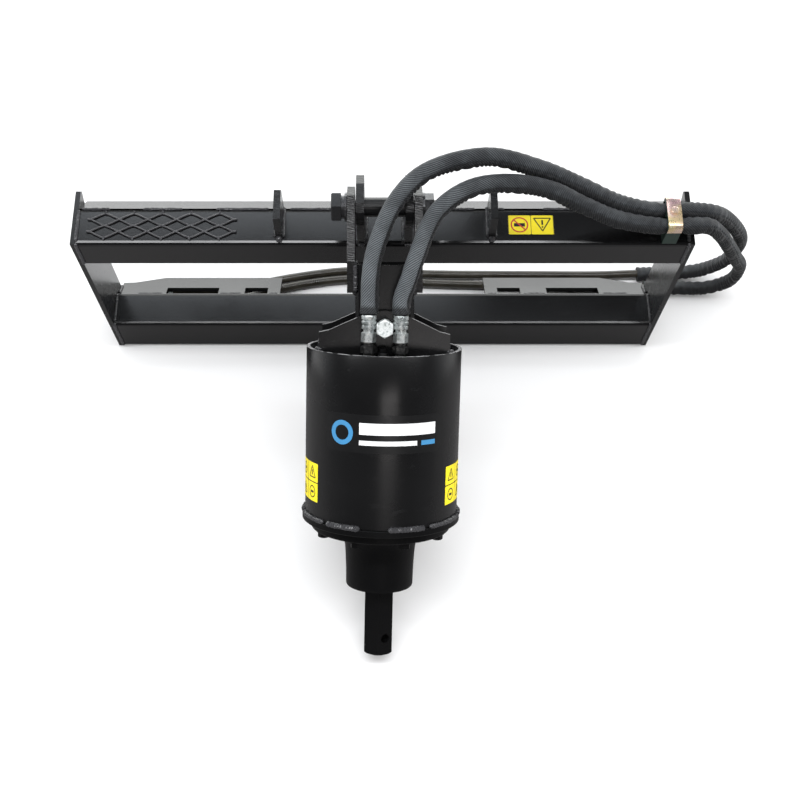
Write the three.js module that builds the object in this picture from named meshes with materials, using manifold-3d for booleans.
import * as THREE from 'three';
import { mergeVertices } from 'three/addons/utils/BufferGeometryUtils.js';
import Module from 'manifold-3d';

const wasm = await Module();
wasm.setup();

// Everything is in millimetres, +Z up, the loader's side towards +Y.
const GAP = 0.3;

// Quick-attach frame, drawn upright in (x, back, up) and then leaned forward.
const LEAN_DEG = 8.2;
const FRAME_WIDTH = 1143;
const FRAME_TALL = 432;
const SIDE_THICK = 9.5;
const SIDE_DEEP = 108;
const TUBE_DEEP = 76.2;
const TUBE_WALL = 6.4;
const TUBE_CORNER = 8;
const UPPER_TALL = 76.2;
const LOWER_TALL = 101.6;
const LIP_LONG = 62;
const LIP_THICK = 9.5;
const LIP_HEEL = 4;
const LEDGE_LONG = 81;
const LEDGE_THICK = 9.5;
const LEDGE_SLOPE_DEG = 35;
const LEDGE_DROP = 12;
const LEDGE_INNER_X = 219;
const LEDGE_OUTER_X = 560;
const SLOT_LARGE = { x: 406, wide: 111, from: 4, to: 33 };
const SLOT_SMALL = { x: 270, wide: 49, from: 4, to: 33 };
const LUG_LEFT_X = -189;
const LUG_RIGHT_X = 200;
const LUG_THICK = 12.7;
const STEP_LEFT_X = -541;
const STEP_PITCH = 53;
const STEP_ROW = 25;
const STEP_COUNT = 5;
const STEP_BACK = 37;

// Pivot across the top of the frame.
const PIVOT_X = 4;
const PIVOT_BACK = 2.6;
const PIVOT_RISE = 122.5;
const PIN_R = 12.7;
const WASHER_R = 13.1;
const EAR_INNER = 35.4;
const EAR_OUTER = 49.6;
const SLEEVE_R = 17;

// Drive, drawn upright in (x, rear, along) with along = 0 at the hood's rim, up towards the pin.
const PIN_ALONG = 242;
const SIDEWAYS_DEG = 1.2;
const PLATE_INNER = 51.2;
const PLATE_OUTER = 64.6;
const BOX_SIDE = 101.6;
const BOX_WALL = 9.5;
const BOX_TOP = 145;
const BOX_BOTTOM = 5;
const KNUCKLE_ALONG = 41;
const HANGER_INNER = 52;
const HANGER_THICK = 12;
const HANGER_HALF = 112.2;
const HOOD_R = 136.5;
const HOOD_WALL = 6.4;
const HOOD_LONG = 298;
const RING_R = 141.4;
const RING_THICK = 12;
const FLANGE_R = 124.9;
const FLANGE_THICK = 16.2;
const BOLT_CIRCLE_R = 109;
const BOLT_COUNT = 8;
const HOUSING_R = 60.8;
const HOUSING_END = 437;
const TIP = 567;
const HEX_FLAT = 50.8;
const HEX_CHAMFER = 3;
const CROSS_HOLE_AT = 536;
const CROSS_HOLE_R = 8.5;
const JOURNAL_R = 30;

// Gear set and gerotor.
const GEAR_MODULE = 3.5;
const PRESSURE_DEG = 25;
const SUN_TEETH = 12;
const PLANET_TEETH = 18;
const RING_TEETH = 48;
const PLANET_COUNT = 3;
const PLANET_PIN_R = 9;
const LOBES = 6;
const ECCENTRICITY = 3.5;
const ROLLER_CIRCLE = 36;
const ROLLER_R = 9;

// Hoses.
const FITTING_X = 27;
const FITTING_REAR = -85;
const FITTING_TOP = 66;
const SLEEVED_R = 13;
const BARE_R = 9.5;
const HOSE_SIDES = 8;
const HOSE_SEAM = 185;
const CLAMP_X = 523;
const CLAMP_HOSE_RISE = 38;
const CLAMP_BACK = 33;
const CLAMP_WIDE = 26;

// Moves the finished assembly so that its box stands on the origin.
const ORIGIN_Y = 286;

const lean = THREE.MathUtils.degToRad(LEAN_DEG);
const pinWorld = new THREE.Vector3(PIVOT_X, PIVOT_BACK, FRAME_TALL + PIVOT_RISE);
pinWorld.applyAxisAngle(new THREE.Vector3(1, 0, 0), lean);
const cornerReach = TIP - HEX_CHAMFER + PIN_ALONG;
const cornerR = HEX_FLAT / Math.sqrt(3);
const dip = Math.asin(pinWorld.z / Math.hypot(cornerReach, cornerR)) - Math.atan2(cornerR, cornerReach);

const framePlace = new THREE.Matrix4().makeTranslation(0, ORIGIN_Y, 0);
framePlace.multiply(new THREE.Matrix4().makeRotationX(lean));

const linkPlace = new THREE.Matrix4().makeTranslation(pinWorld.x, pinWorld.y + ORIGIN_Y, pinWorld.z);
linkPlace.multiply(new THREE.Matrix4().makeRotationX(dip - Math.PI / 2));
linkPlace.multiply(new THREE.Matrix4().makeTranslation(0, 0, -PIN_ALONG));

const drivePlace = linkPlace.clone();
drivePlace.multiply(new THREE.Matrix4().makeTranslation(0, 0, KNUCKLE_ALONG));
drivePlace.multiply(new THREE.Matrix4().makeRotationY(THREE.MathUtils.degToRad(SIDEWAYS_DEG)));
drivePlace.multiply(new THREE.Matrix4().makeTranslation(0, 0, -KNUCKLE_ALONG));

const finishes = {
  paint: { color: 0x25282d, roughness: 0.32, metalness: 0.25 },
  zinc: { color: 0xb9bbb8, roughness: 0.35, metalness: 0.9 },
  yellow_zinc: { color: 0xb8a06a, roughness: 0.35, metalness: 0.85 },
  steel: { color: 0x8d9096, roughness: 0.3, metalness: 0.95 },
  iron: { color: 0x4a4c50, roughness: 0.55, metalness: 0.7 },
  sleeve: { color: 0x2a2d34, roughness: 0.85, metalness: 0 },
  rubber: { color: 0x15140f, roughness: 0.45, metalness: 0 },
  plastic: { color: 0x1f3a2c, roughness: 0.6, metalness: 0 },
};

const group = new THREE.Group();

function addNode(name, geometry, finish, place) {
  const mesh = new THREE.Mesh(geometry, new THREE.MeshStandardMaterial(finishes[finish]));
  mesh.name = name;
  if (place) {
    geometry.applyMatrix4(place);
  }
  group.add(mesh);
}

function solidOf(geometry) {
  const plain = geometry.clone();
  plain.deleteAttribute('normal');
  plain.deleteAttribute('uv');
  const merged = mergeVertices(plain, 1e-4);
  return new wasm.Manifold(new wasm.Mesh({
    numProp: 3,
    vertProperties: new Float32Array(merged.attributes.position.array),
    triVerts: new Uint32Array(merged.index.array),
  }));
}

function geometryOf(solid) {
  const mesh = solid.getMesh();
  const geometry = new THREE.BufferGeometry();
  geometry.setAttribute('position', new THREE.BufferAttribute(new Float32Array(mesh.vertProperties), 3));
  geometry.setIndex(new THREE.BufferAttribute(new Uint32Array(mesh.triVerts), 1));
  const flat = geometry.toNonIndexed();
  flat.computeVertexNormals();
  return flat;
}

function cut(body, ...tools) {
  return geometryOf(tools.reduce((left, tool) => left.subtract(solidOf(tool)), solidOf(body)));
}

function join(...parts) {
  return geometryOf(parts.map(solidOf).reduce((all, part) => all.add(part)));
}

// A closed outline, always anticlockwise.
function shapeOf(points) {
  const corners = points.map(([a, b]) => new THREE.Vector2(a, b));
  return new THREE.Shape(THREE.ShapeUtils.isClockWise(corners) ? corners.reverse() : corners);
}

function circle(r, count, cx = 0, cy = 0) {
  return Array.from({ length: count }, (_, i) => {
    const angle = (2 * Math.PI * i) / count;
    return [cx + r * Math.cos(angle), cy + r * Math.sin(angle)];
  });
}

function roundedBox(wide, tall, corner, cx = 0, cy = 0) {
  const points = [];
  const centres = [[1, 1], [-1, 1], [-1, -1], [1, -1]];
  centres.forEach(([sx, sy], quarter) => {
    for (let step = 0; step <= 3; step += 1) {
      const angle = (Math.PI / 2) * (quarter + step / 3);
      const x = cx + sx * (wide / 2 - corner) + corner * Math.cos(angle);
      const y = cy + sy * (tall / 2 - corner) + corner * Math.sin(angle);
      points.push([x, y]);
    }
  });
  return points;
}

// A prism of an outline in (x, y), from z = low to z = high.
function prism(outline, low, high, holes = []) {
  const shape = shapeOf(outline);
  shape.holes = holes.map(shapeOf);
  const geometry = new THREE.ExtrudeGeometry(shape, { depth: high - low, bevelEnabled: false });
  return geometry.translate(0, 0, low);
}

// A prism of an outline in (y, z), from x = low to x = high.
function prismX(outline, low, high, holes = []) {
  const turn = new THREE.Matrix4().makeBasis(
    new THREE.Vector3(0, 1, 0), new THREE.Vector3(0, 0, 1), new THREE.Vector3(1, 0, 0));
  return prism(outline, low, high, holes).applyMatrix4(turn);
}

// A prism of an outline in (x, z), from y = low to y = high.
function prismY(outline, low, high, holes = []) {
  const turn = new THREE.Matrix4().makeBasis(
    new THREE.Vector3(1, 0, 0), new THREE.Vector3(0, 0, 1), new THREE.Vector3(0, -1, 0));
  return prism(outline, -high, -low, holes).applyMatrix4(turn);
}

// A turned body about z from [radius, z] points that go up; closed tells a ring from a disc.
function turned(profile, closed, sides = 32) {
  const points = profile.map(([r, z]) => new THREE.Vector2(r, z));
  if (closed) {
    points.push(points[0].clone());
  }
  return new THREE.LatheGeometry(points, sides).rotateX(Math.PI / 2);
}

function box(wide, deep, tall, x, y, z) {
  return new THREE.BoxGeometry(wide, deep, tall).translate(x, y, z);
}

function hexagon(acrossFlats, first = 0) {
  return circle(acrossFlats / Math.sqrt(3), 6).map(([x, y]) => [
    x * Math.cos(first) - y * Math.sin(first),
    x * Math.sin(first) + y * Math.cos(first),
  ]);
}

// ---- Quick-attach frame ----

function makeTubes() {
  const half = FRAME_WIDTH / 2 - SIDE_THICK - GAP;
  const tubes = [
    ['upper_tube', UPPER_TALL, FRAME_TALL - UPPER_TALL / 2],
    ['lower_tube', LOWER_TALL, LOWER_TALL / 2],
  ];
  tubes.forEach(([name, tall, middle]) => {
    const outer = roundedBox(TUBE_DEEP, tall, TUBE_CORNER, TUBE_DEEP / 2, middle);
    const inner = roundedBox(TUBE_DEEP - 2 * TUBE_WALL, tall - 2 * TUBE_WALL, 3, TUBE_DEEP / 2, middle);
    addNode(name, prismX(outer, -half, half, [inner]), 'paint', framePlace);
  });
}

function makeSidePlates() {
  const outline = [
    [0, 0], [84, 0], [SIDE_DEEP, 26], [SIDE_DEEP, 402], [117, FRAME_TALL - 6], [113, FRAME_TALL],
    [0, FRAME_TALL],
  ];
  const outer = FRAME_WIDTH / 2;
  addNode('side_plate_left', prismX(outline, -outer, SIDE_THICK - outer), 'paint', framePlace);
  addNode('side_plate_right', prismX(outline, outer - SIDE_THICK, outer), 'paint', framePlace);
}

function makeTopLip() {
  const start = TUBE_DEEP + GAP;
  const top = FRAME_TALL - 1;
  const run = LIP_LONG * Math.SQRT1_2;
  const step = LIP_THICK * Math.SQRT1_2;
  const heel = top - 2 * step - LIP_HEEL;
  const outline = [
    [start, heel], [start + LIP_HEEL, heel], [start + run - step, top - run - step],
    [start + run, top - run], [start, top],
  ];
  const half = FRAME_WIDTH / 2 - SIDE_THICK - GAP;
  addNode('top_lip', prismX(outline, -half, half), 'paint', framePlace);
}

function makeLedges() {
  const place = new THREE.Matrix4().makeTranslation(0, TUBE_DEEP, LOWER_TALL - LEDGE_DROP);
  place.multiply(new THREE.Matrix4().makeRotationX(-THREE.MathUtils.degToRad(LEDGE_SLOPE_DEG)));
  const tubeRoom = box(2 * FRAME_WIDTH, TUBE_DEEP, 2 * LOWER_TALL, 0, TUBE_DEEP / 2 + GAP, LOWER_TALL);
  [['ledge_left', -1], ['ledge_right', 1]].forEach(([name, side]) => {
    const mirror = (points) => points.map(([x, y]) => [side * x, y]);
    const slots = [SLOT_LARGE, SLOT_SMALL].map(({ x, wide, from, to }) => {
      return box(wide, to - from, 3 * LEDGE_THICK, side * x, (from + to) / 2, 0);
    });
    const outline = mirror([
      [LEDGE_INNER_X, 0.4], [LEDGE_OUTER_X, 0.4], [LEDGE_OUTER_X, 57], [LEDGE_OUTER_X - 26, 59],
      [LEDGE_OUTER_X - 88, LEDGE_LONG], [LEDGE_INNER_X, LEDGE_LONG],
    ]);
    const plate = cut(prism(outline, -LEDGE_THICK, 0), ...slots).applyMatrix4(place);
    addNode(name, cut(plate, tubeRoom), 'paint', framePlace);
  });
}

function makeLugs() {
  const foot = FRAME_TALL + GAP;
  const outline = [
    [13, foot], [80, foot], [80, foot + 50], [73, foot + 67], [13, foot + 67],
  ];
  [['lug_left', LUG_LEFT_X], ['lug_right', LUG_RIGHT_X]].forEach(([name, x]) => {
    addNode(name, prismX(outline, x - LUG_THICK / 2, x + LUG_THICK / 2), 'paint', framePlace);
  });
}

function makePivotEars() {
  const foot = FRAME_TALL + GAP;
  const outline = [
    [0, foot], [76, foot], [56, foot + 140], [31, foot + 152], [-7, foot + 152], [-22, foot + 144],
    [-28, foot + 128], [-27, foot + 112], [-19, foot + 98], [-2, foot + 60],
  ];
  const left = prismX(outline, PIVOT_X - EAR_OUTER, PIVOT_X - EAR_INNER);
  const right = prismX(outline, PIVOT_X + EAR_INNER, PIVOT_X + EAR_OUTER);
  const centre = [PIVOT_BACK, FRAME_TALL + PIVOT_RISE];
  const sleeve = prismX(circle(SLEEVE_R, 24, ...centre), PIVOT_X - EAR_OUTER, PIVOT_X + EAR_OUTER);
  const bore = prismX(circle(PIN_R + 0.5, 24, ...centre), PIVOT_X - 80, PIVOT_X + 80);
  addNode('pivot_ears', cut(join(left, right, sleeve), bore), 'paint', framePlace);
}

function makePivotPin() {
  const head = turned([[0, -17], [25, -17], [27, -15], [27, 0], [0, 0]], false, 6);
  const shank = turned([[0, -1], [PIN_R, -1], [PIN_R, 180], [PIN_R - 2, 182], [0, 182]], false, 24);
  const steppedWasher = [[WASHER_R, 0], [20, 0], [20, 5.6], [25, 5.6], [25, 9.6], [WASHER_R, 9.6]];
  const flatWasher = [[WASHER_R, 0], [25, 0], [25, 4], [WASHER_R, 4]];
  const parts = [
    ['pivot_pin', join(head, shank), -75.3],
    ['pivot_washer_left', turned(steppedWasher, true, 24), -75],
    ['pivot_washer_right', turned(flatWasher, true, 24), 65],
    ['pivot_nut', prism(hexagon(41), 0, 15, [circle(PIN_R + 0.5, 24)]), 69.4],
  ];
  const axis = new THREE.Matrix4().makeTranslation(0, PIVOT_BACK, FRAME_TALL + PIVOT_RISE);
  const onX = new THREE.Matrix4().makeRotationY(Math.PI / 2);
  parts.forEach(([name, geometry, x]) => {
    geometry.applyMatrix4(onX).translate(PIVOT_X + x, 0, 0).applyMatrix4(axis);
    addNode(name, geometry, 'steel', framePlace);
  });
}

// Expanded metal: two rows of diamonds that meet at their corners.
function makeStep() {
  const diamond = (cx, cy, halfWide, halfTall) => [
    [cx + halfWide, cy], [cx, cy + halfTall], [cx - halfWide, cy], [cx, cy - halfTall],
  ];
  const low = FRAME_TALL + GAP;
  const plates = [];
  const openings = [];
  [-1, 1].forEach((row) => {
    for (let i = 0; i < STEP_COUNT; i += 1) {
      const cx = STEP_LEFT_X + (i + 0.5) * STEP_PITCH;
      const cy = STEP_BACK + (row * STEP_ROW) / 2;
      plates.push(solidOf(prism(diamond(cx, cy, STEP_PITCH / 2 + 4, STEP_ROW / 2 + 2), low, low + 3.4)));
      const opening = diamond(cx, cy, STEP_PITCH / 2 - 4, STEP_ROW / 2 - 2);
      openings.push(solidOf(prism(opening, low - 1, low + 5)));
    }
  });
  const whole = plates.reduce((all, plate) => all.add(plate));
  const strands = openings.reduce((left, room) => left.subtract(room), whole);
  addNode('step_mesh', geometryOf(strands), 'paint', framePlace);
}

function makeClamp() {
  const foot = FRAME_TALL + GAP;
  const rise = FRAME_TALL + CLAMP_HOSE_RISE;
  const near = CLAMP_BACK - 32;
  const far = CLAMP_BACK + 32;
  const outline = [[near, foot], [far, foot], [far, rise + 17], [near, rise + 17]];
  const bores = [-16, 16].map((side) => circle(SLEEVED_R + 2.7, 20, CLAMP_BACK + side, rise));
  const body = prismX(outline, CLAMP_X - CLAMP_WIDE / 2, CLAMP_X + CLAMP_WIDE / 2, bores);
  addNode('clamp_body', body, 'plastic', framePlace);
  const plateLow = rise + 17 + GAP;
  const plate = box(CLAMP_WIDE, 64, 4, CLAMP_X, CLAMP_BACK, plateLow + 2);
  addNode('clamp_plate', plate, 'yellow_zinc', framePlace);
  const bolt = turned([[0, 0], [9.8, 0], [9.8, 5.6], [8.6, 6.6], [0, 6.6]], false, 6);
  bolt.translate(CLAMP_X, CLAMP_BACK, plateLow + 4 + GAP);
  addNode('clamp_bolt', bolt, 'zinc', framePlace);
}

// ---- Swinging link ----

function makeLinkPlates() {
  const outline = [
    [-50, 98], [50, 98], [50, 150], [33, 226], [26, 262], [0, 277], [-26, 262], [-33, 226], [-50, 150],
  ];
  const hole = [circle(PIN_R + 0.5, 24, 0, PIN_ALONG)];
  addNode('link_plate_left', prismX(outline, -PLATE_OUTER, -PLATE_INNER, hole), 'paint', linkPlace);
  addNode('link_plate_right', prismX(outline, PLATE_INNER, PLATE_OUTER, hole), 'paint', linkPlace);
}

function makeLinkBox() {
  const outer = roundedBox(BOX_SIDE, BOX_SIDE, 12);
  const inner = roundedBox(BOX_SIDE - 2 * BOX_WALL, BOX_SIDE - 2 * BOX_WALL, 4);
  const tube = prism(outer, BOX_BOTTOM, BOX_TOP, [inner]);
  const bore = prismY(circle(19.5, 24, 0, KNUCKLE_ALONG), -80, 80);
  addNode('link_box', cut(tube, bore), 'paint', linkPlace);
  const bushHole = circle(PIN_R + 0.5, 24, 0, KNUCKLE_ALONG);
  const bush = prismY(circle(19, 24, 0, KNUCKLE_ALONG), -BOX_SIDE / 2, BOX_SIDE / 2, [bushHole]);
  addNode('knuckle_bush', bush, 'steel', linkPlace);
}

// ---- Drive ----

function makeHangers() {
  const outline = [
    [-HANGER_HALF, -72], [HANGER_HALF, -72], [HANGER_HALF, 30], [95, 34], [26, 66], [0, 69], [-26, 66],
    [-95, 34], [-HANGER_HALF, 30],
  ];
  const hole = [circle(PIN_R + 0.5, 24, 0, KNUCKLE_ALONG)];
  const far = HANGER_INNER + HANGER_THICK;
  addNode('hanger_front', prismY(outline, -far, -HANGER_INNER, hole), 'paint', drivePlace);
  addNode('hanger_rear', prismY(outline, HANGER_INNER, far, hole), 'paint', drivePlace);
}

function makeKnuckleBolt() {
  const face = HANGER_INNER + HANGER_THICK;
  const head = turned([[0, 0], [16, 0], [16, 17.4], [14.2, 19.5], [0, 19.5]], false, 6);
  const shank = turned([[0, -170], [PIN_R - 1, -170], [PIN_R, -168], [PIN_R, 1], [0, 1]], false, 24);
  const spacer = turned([[0, -12], [15.6, -12], [15.6, 0.2], [0, 0.2]], false, 24);
  const nut = prism(hexagon(38), 0, 17, [circle(PIN_R + 0.5, 24)]);
  const parts = [
    ['knuckle_bolt', join(head, shank, spacer), face + GAP + 12, 'zinc'],
    ['knuckle_nut', nut, -face - GAP - 17, 'zinc'],
  ];
  parts.forEach(([name, geometry, at, finish]) => {
    geometry.translate(0, 0, at).rotateX(Math.PI / 2).translate(0, 0, KNUCKLE_ALONG);
    addNode(name, geometry, finish, drivePlace);
  });
}

function boltHoles(low, high, r) {
  return Array.from({ length: BOLT_COUNT }, (_, i) => {
    const angle = ((i + 0.5) * 2 * Math.PI) / BOLT_COUNT;
    const centre = [BOLT_CIRCLE_R * Math.cos(angle), BOLT_CIRCLE_R * Math.sin(angle)];
    return prism(circle(r, 8, ...centre), low, high);
  });
}

function makeHood() {
  const bore = HOOD_R - HOOD_WALL;
  const low = -HOOD_LONG;
  const wall = [[bore, low], [HOOD_R, low], [HOOD_R, 0], [bore, 0]];
  addNode('hood', turned(wall, true, 48), 'paint', drivePlace);
  const ringHigh = low - GAP;
  const ringLow = low - RING_THICK;
  const ring = turned([[92, ringLow], [RING_R, ringLow], [RING_R, ringHigh], [92, ringHigh]], true, 48);
  addNode('base_ring', cut(ring, ...boltHoles(ringLow - 1, ringHigh + 1, 6.6)), 'paint', drivePlace);
}

function makeGearCase() {
  const low = -HOOD_LONG + GAP;
  const body = turned([
    [86, low], [122, low], [122, low + 22], [102, low + 22], [102, -215.3], [16, -215.3],
    [16, -236], [80, -236], [80, -278], [86, -278],
  ], true, 32);
  const addendum = 1.05 * GEAR_MODULE;
  const space = gearOutline(RING_TEETH, addendum, 0.8 * GEAR_MODULE, -0.25, Math.PI / RING_TEETH);
  const teeth = prism(space, -278.5, -237);
  addNode('gear_case', cut(body, teeth, ...boltHoles(low - 1, low + 17, 6.6)), 'iron', drivePlace);
}

function makeOutputHousing() {
  const top = -HOOD_LONG - RING_THICK - GAP;
  const flangeLow = top - FLANGE_THICK;
  const body = turned([
    [40.3, -HOUSING_END], [HOUSING_R - 2, -HOUSING_END], [HOUSING_R, -HOUSING_END + 2], [HOUSING_R, -383],
    [62.5, -365], [67, -349], [74, -337], [80, flangeLow],
    [FLANGE_R, flangeLow], [FLANGE_R, top], [60, top],
    [60, -338], [47, -338], [47, -424.7], [40.3, -424.7],
  ], true, 32);
  addNode('output_housing', cut(body, ...boltHoles(flangeLow - 1, top + 1, 6.6)), 'paint', drivePlace);
  const bearing = turned([[30.4, -420], [46.6, -420], [46.6, -345], [30.4, -345]], true);
  addNode('output_bearing', bearing, 'steel', drivePlace);
  const seal = turned([[30.4, -436], [39.9, -436], [39.9, -426], [30.4, -426]], true);
  addNode('shaft_seal', seal, 'rubber', drivePlace);
}

function makeFlangeBolts() {
  const face = -HOOD_LONG - RING_THICK - GAP - FLANGE_THICK - GAP;
  for (let i = 0; i < BOLT_COUNT; i += 1) {
    const angle = ((i + 0.5) * 2 * Math.PI) / BOLT_COUNT;
    const head = prism(hexagon(18), -10, -2);
    const washer = prism(circle(12, 14), -2.4, 0);
    const shank = prism(circle(6, 8), -1, 42);
    const bolt = join(head, washer, shank).rotateZ(angle);
    bolt.translate(BOLT_CIRCLE_R * Math.cos(angle), BOLT_CIRCLE_R * Math.sin(angle), face);
    addNode(`flange_bolt_${i + 1}`, bolt, 'zinc', drivePlace);
  }
}

function makeMotor() {
  const body = turned([[0, -215], [62, -215], [62, -125], [0, -125]], false);
  const pocket = prism(circle(42.8, 36, ECCENTRICITY, 0), -162, -124);
  const bore = prism(circle(15.4, 32), -216, -120);
  addNode('motor_body', cut(body, pocket, bore), 'paint', drivePlace);
  const cover = turned([[0, -124.7], [62, -124.7], [62, -100], [56, -92], [0, -92]], false);
  addNode('motor_port_cover', cover, 'paint', drivePlace);
}

// Points of an involute gear with a tooth on +x; slack thins each tooth at the pitch circle.
function gearOutline(teeth, addendum, dedendum, slack, turnBy) {
  const pressure = THREE.MathUtils.degToRad(PRESSURE_DEG);
  const pitchR = (GEAR_MODULE * teeth) / 2;
  const baseR = pitchR * Math.cos(pressure);
  const tipR = pitchR + addendum;
  const rootR = pitchR - dedendum;
  const involute = (r) => {
    const angle = Math.acos(Math.min(1, baseR / r));
    return Math.tan(angle) - angle;
  };
  const halfAt = (r) => {
    const half = Math.PI / (2 * teeth) - slack / (2 * pitchR);
    return half + Math.tan(pressure) - pressure - involute(Math.max(r, baseR));
  };
  const flank = [rootR, pitchR, tipR];
  const points = [];
  for (let i = 0; i < teeth; i += 1) {
    const centre = turnBy + (2 * Math.PI * i) / teeth;
    flank.forEach((r) => points.push([r, centre - halfAt(r)]));
    [...flank].reverse().forEach((r) => points.push([r, centre + halfAt(r)]));
  }
  return points.map(([r, angle]) => [r * Math.cos(angle), r * Math.sin(angle)]);
}

function makeGears() {
  const addendum = 0.8 * GEAR_MODULE;
  const dedendum = 1.05 * GEAR_MODULE;
  const reach = (GEAR_MODULE * (SUN_TEETH + PLANET_TEETH)) / 2;
  for (let i = 0; i < PLANET_COUNT; i += 1) {
    const angle = (2 * Math.PI * i) / PLANET_COUNT;
    const outline = gearOutline(PLANET_TEETH, addendum, dedendum, 0.35, Math.PI / PLANET_TEETH);
    const planet = prism(outline, -275, -240, [circle(PLANET_PIN_R + 0.5, 16)]);
    planet.translate(reach * Math.cos(angle), reach * Math.sin(angle), 0);
    addNode(`planet_gear_${i + 1}`, planet, 'steel', drivePlace);
  }
  const sun = prism(gearOutline(SUN_TEETH, addendum, dedendum, 0.35, 0), -275, -240);
  const shaft = prism(circle(14.5, 32), -241, -160);
  const rotor = prism(innerRotor(), -161.5, -125.5);
  addNode('motor_shaft', join(sun, shaft, rotor), 'steel', drivePlace);
  const hub = turned([
    [0, -HOUSING_END - 1], [JOURNAL_R - 2, -HOUSING_END - 1], [JOURNAL_R, -HOUSING_END], [JOURNAL_R, -338],
    [42, -330], [42, -294], [74, -294], [74, -279.3], [0, -279.3],
  ], false, 28);
  const pins = Array.from({ length: PLANET_COUNT }, (_, i) => {
    const angle = (2 * Math.PI * i) / PLANET_COUNT;
    return prism(circle(PLANET_PIN_R, 16, reach * Math.cos(angle), reach * Math.sin(angle)), -281, -242);
  });
  const hex = prism(hexagon(HEX_FLAT, Math.PI / 2), -TIP, -HOUSING_END);
  const chamfer = turned([
    [0, -TIP - 0.01], [cornerR - HEX_CHAMFER, -TIP - 0.01], [cornerR + 0.02, -TIP + HEX_CHAMFER],
    [cornerR + 0.02, -HOUSING_END + 1], [0, -HOUSING_END + 1],
  ], false, 28);
  const hexBody = solidOf(hex).intersect(solidOf(chamfer));
  const hole = prismX(circle(CROSS_HOLE_R, 24, 0, -CROSS_HOLE_AT), -50, 50).rotateZ(-Math.PI / 3);
  const shaftBody = [hub, ...pins].map(solidOf).reduce((all, part) => all.add(part));
  addNode('output_shaft', geometryOf(shaftBody.add(hexBody).subtract(solidOf(hole))), 'paint', drivePlace);
}

// The gerotor's inner rotor rolls inside circles of ROLLER_R on the outer rotor.
function innerRotor() {
  const steps = LOBES * 80;
  const clear = ROLLER_R + 0.15;
  const more = LOBES + 1;
  const points = [];
  for (let i = 0; i < steps; i += 1) {
    const t = (2 * Math.PI * i) / steps;
    const x = ROLLER_CIRCLE * Math.cos(t) + ECCENTRICITY * Math.cos(more * t);
    const y = ROLLER_CIRCLE * Math.sin(t) + ECCENTRICITY * Math.sin(more * t);
    const dx = -ROLLER_CIRCLE * Math.sin(t) - ECCENTRICITY * more * Math.sin(more * t);
    const dy = ROLLER_CIRCLE * Math.cos(t) + ECCENTRICITY * more * Math.cos(more * t);
    const long = Math.hypot(dx, dy);
    const point = [x - (clear * dy) / long, y + (clear * dx) / long];
    const last = points.at(-1);
    if (!last || Math.hypot(point[0] - last[0], point[1] - last[1]) > 1.8) {
      points.push(point);
    }
  }
  return points;
}

function makeOuterRotor() {
  const inside = ROLLER_CIRCLE - ROLLER_R + 2 * ECCENTRICITY + 0.4;
  const ring = prism(circle(42.2, 32), -161.5, -125.5);
  const room = solidOf(prism(circle(inside, 40), -170, -120));
  const rollers = Array.from({ length: LOBES + 1 }, (_, i) => {
    const angle = (2 * Math.PI * i) / (LOBES + 1);
    const centre = [ROLLER_CIRCLE * Math.cos(angle), ROLLER_CIRCLE * Math.sin(angle)];
    return solidOf(prism(circle(ROLLER_R - 0.2, 18, ...centre), -171, -119));
  });
  const cavity = rollers.reduce((left, roller) => left.subtract(roller), room);
  const rotor = geometryOf(solidOf(ring).subtract(cavity)).translate(ECCENTRICITY, 0, 0);
  addNode('gerotor_ring', rotor, 'steel', drivePlace);
}

// ---- Hoses ----

function makeFitting(name, x) {
  const ferrule = turned([
    [0, 16], [12.4, 16], [12.4, 20], [11.4, 21], [11.4, 24], [12.8, 25], [12.8, 62], [12, 63.7], [0, 63.7],
  ], false, 16);
  const nut = prism(hexagon(27, Math.PI / 2), -8, 17);
  const adapter = prism(circle(10, 16), -108, -7);
  const collar = prism(hexagon(24, Math.PI / 2), -34, -22);
  const arm = prismY(circle(9.9, 16, 0, -108), -1, 21);
  const elbow = new THREE.SphereGeometry(10.6, 12, 8).translate(0, 0, -108);
  const fitting = join(ferrule, nut, adapter, collar, arm, elbow).translate(x, FITTING_REAR, 0);
  addNode(name, fitting, 'zinc', drivePlace);
}

function hoseRoute(hose) {
  const along = [FITTING_TOP, FITTING_TOP + 24];
  const start = along.map((z) => new THREE.Vector3(hose.x, FITTING_REAR, z).applyMatrix4(drivePlace));
  const held = [CLAMP_X - 30, CLAMP_X, CLAMP_X + 30].map((x) => {
    return new THREE.Vector3(x, hose.clampBack, FRAME_TALL + CLAMP_HOSE_RISE).applyMatrix4(framePlace);
  });
  const route = [...start, ...hose.before.map(onFloor), ...held, ...hose.after.map(onFloor)];
  return new THREE.CatmullRomCurve3(route, false, 'centripetal');
}

function onFloor([x, y, z]) {
  return new THREE.Vector3(x, y + ORIGIN_Y, z);
}

// The stretch of a route between two shares of its length.
class Stretch extends THREE.Curve {
  constructor(route, from, to) {
    super();
    this.route = route;
    this.from = from;
    this.to = to;
  }

  getPoint(t) {
    return this.route.getPointAt(this.from + (this.to - this.from) * t);
  }

  getTangent(t) {
    return this.route.getTangentAt(this.from + (this.to - this.from) * t);
  }
}

function hosePiece(name, route, from, to, r, finish, steps) {
  const section = shapeOf(circle(r, HOSE_SIDES));
  const path = new Stretch(route, from, to);
  const tube = new THREE.ExtrudeGeometry(section, { steps, extrudePath: path, bevelEnabled: false });
  addNode(name, tube, finish);
}

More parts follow.
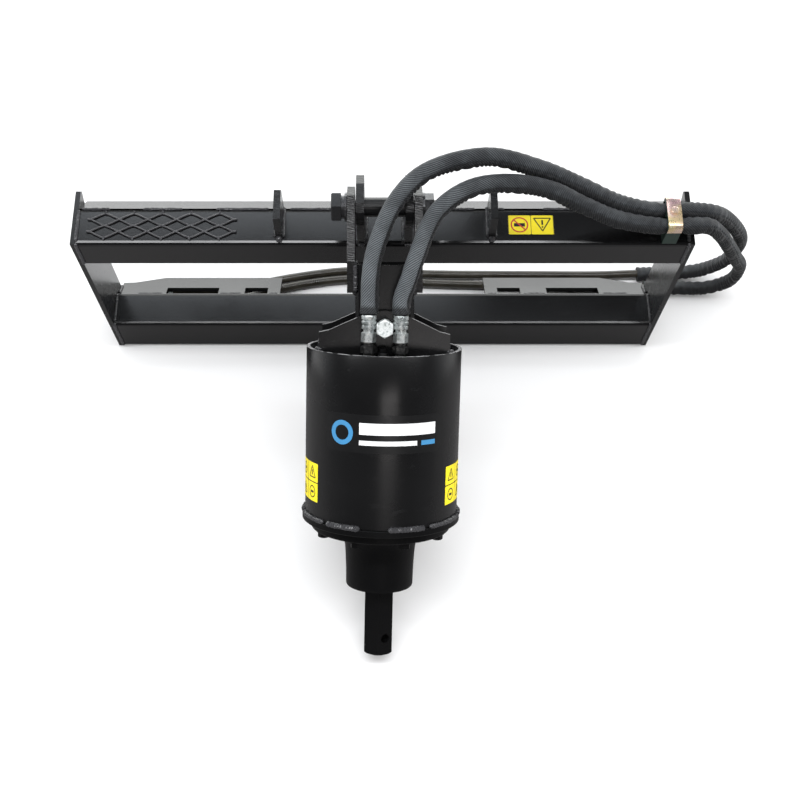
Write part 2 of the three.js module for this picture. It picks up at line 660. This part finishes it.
const HOSES = {
  left: {
    x: -FITTING_X,
    clampBack: CLAMP_BACK + 16,
    before: [
      [-21, -222, 536], [-13, -178, 559], [23, -104, 599], [74, -55, 616], [175, -30, 626], [271, -26, 592],
      [350, -24, 545], [425, -22, 497],
    ],
    after: [
      [605, -5, 450], [665, 40, 370], [722, 88, 262], [742, 125, 180], [738, 158, 90], [700, 182, 28],
      [640, 185, 14.5], [570, 183, 13.5],
    ],
    bare: [
      [490, 181, 11], [340, 182, 10], [120, 184, 10], [0, 189, 10], [-77, 193, 10], [-150, 184, 10],
      [-230, 168, 10], [-300, 149, 10], [-370, 138, 10], [-430, 136, 10], [-465, 136, 10],
    ],
  },
  right: {
    x: FITTING_X,
    clampBack: CLAMP_BACK - 16,
    before: [
      [44, -222, 536], [54, -198, 555], [90, -123, 590], [148, -78, 600], [219, -62, 596], [293, -56, 570],
      [353, -54, 529], [420, -52, 489],
    ],
    after: [
      [590, -40, 455], [630, -14, 400], [668, 14, 330], [716, 62, 230], [755, 105, 140], [757, 130, 60],
      [715, 142, 17.5], [650, 145, 14], [580, 145, 13.5],
    ],
    bare: [
      [490, 147, 11], [340, 152, 10], [120, 158, 10], [0, 166, 10], [-77, 170, 10], [-150, 161, 10],
      [-230, 143, 10], [-300, 121, 10], [-370, 104, 10], [-430, 98, 10], [-465, 98, 10],
    ],
  },
};

function makeHoses() {
  Object.entries(HOSES).forEach(([side, hose]) => {
    makeFitting(`hose_fitting_${side}`, hose.x);
    const sleeved = hoseRoute(hose);
    const long = sleeved.getLength();
    const seam = HOSE_SEAM / long;
    const clampShare = nearestShare(sleeved, CLAMP_X);
    const slit = 0.2 / long;
    hosePiece(`hose_${side}_lower`, sleeved, GAP / long, seam - slit, SLEEVED_R, 'sleeve', 4);
    hosePiece(`hose_${side}_arch`, sleeved, seam + slit, clampShare - slit, SLEEVED_R, 'sleeve', 12);
    hosePiece(`hose_${side}_rear`, sleeved, clampShare + slit, 1, SLEEVED_R, 'sleeve', 12);
    const tail = [hose.after.at(-1), ...hose.bare].map(onFloor);
    const bare = new THREE.CatmullRomCurve3(tail, false, 'centripetal');
    const bareLong = bare.getLength();
    hosePiece(`hose_${side}_tail`, bare, 1.5 / bareLong, 1, BARE_R, 'rubber', 18);
    makeCoupler(`coupler_${side}`, hose.bare.at(-1));
  });
}

// The share of a route's length at which it first passes the given x.
function nearestShare(route, x) {
  let share = 0;
  while (route.getPointAt(share).x < x) {
    share += 0.0005;
  }
  return share;
}

function makeCoupler(name, [x, y, z]) {
  const body = turned([
    [0, 0], [12, 0], [12, 28], [16, 30], [16, 44], [18, 46], [18, 72], [15, 78], [15, 95], [0, 95],
  ], false, 16);
  body.rotateY(-Math.PI / 2).translate(x - GAP, y + ORIGIN_Y, z + 8.2);
  addNode(name, body, 'zinc');
}

makeTubes();
makeSidePlates();
makeTopLip();
makeLedges();
makeLugs();
makePivotEars();
makePivotPin();
makeStep();
makeClamp();
makeLinkPlates();
makeLinkBox();
makeHangers();
makeKnuckleBolt();
makeHood();
makeGearCase();
makeOutputHousing();
makeFlangeBolts();
makeMotor();
makeGears();
makeOuterRotor();
makeHoses();

export default group;
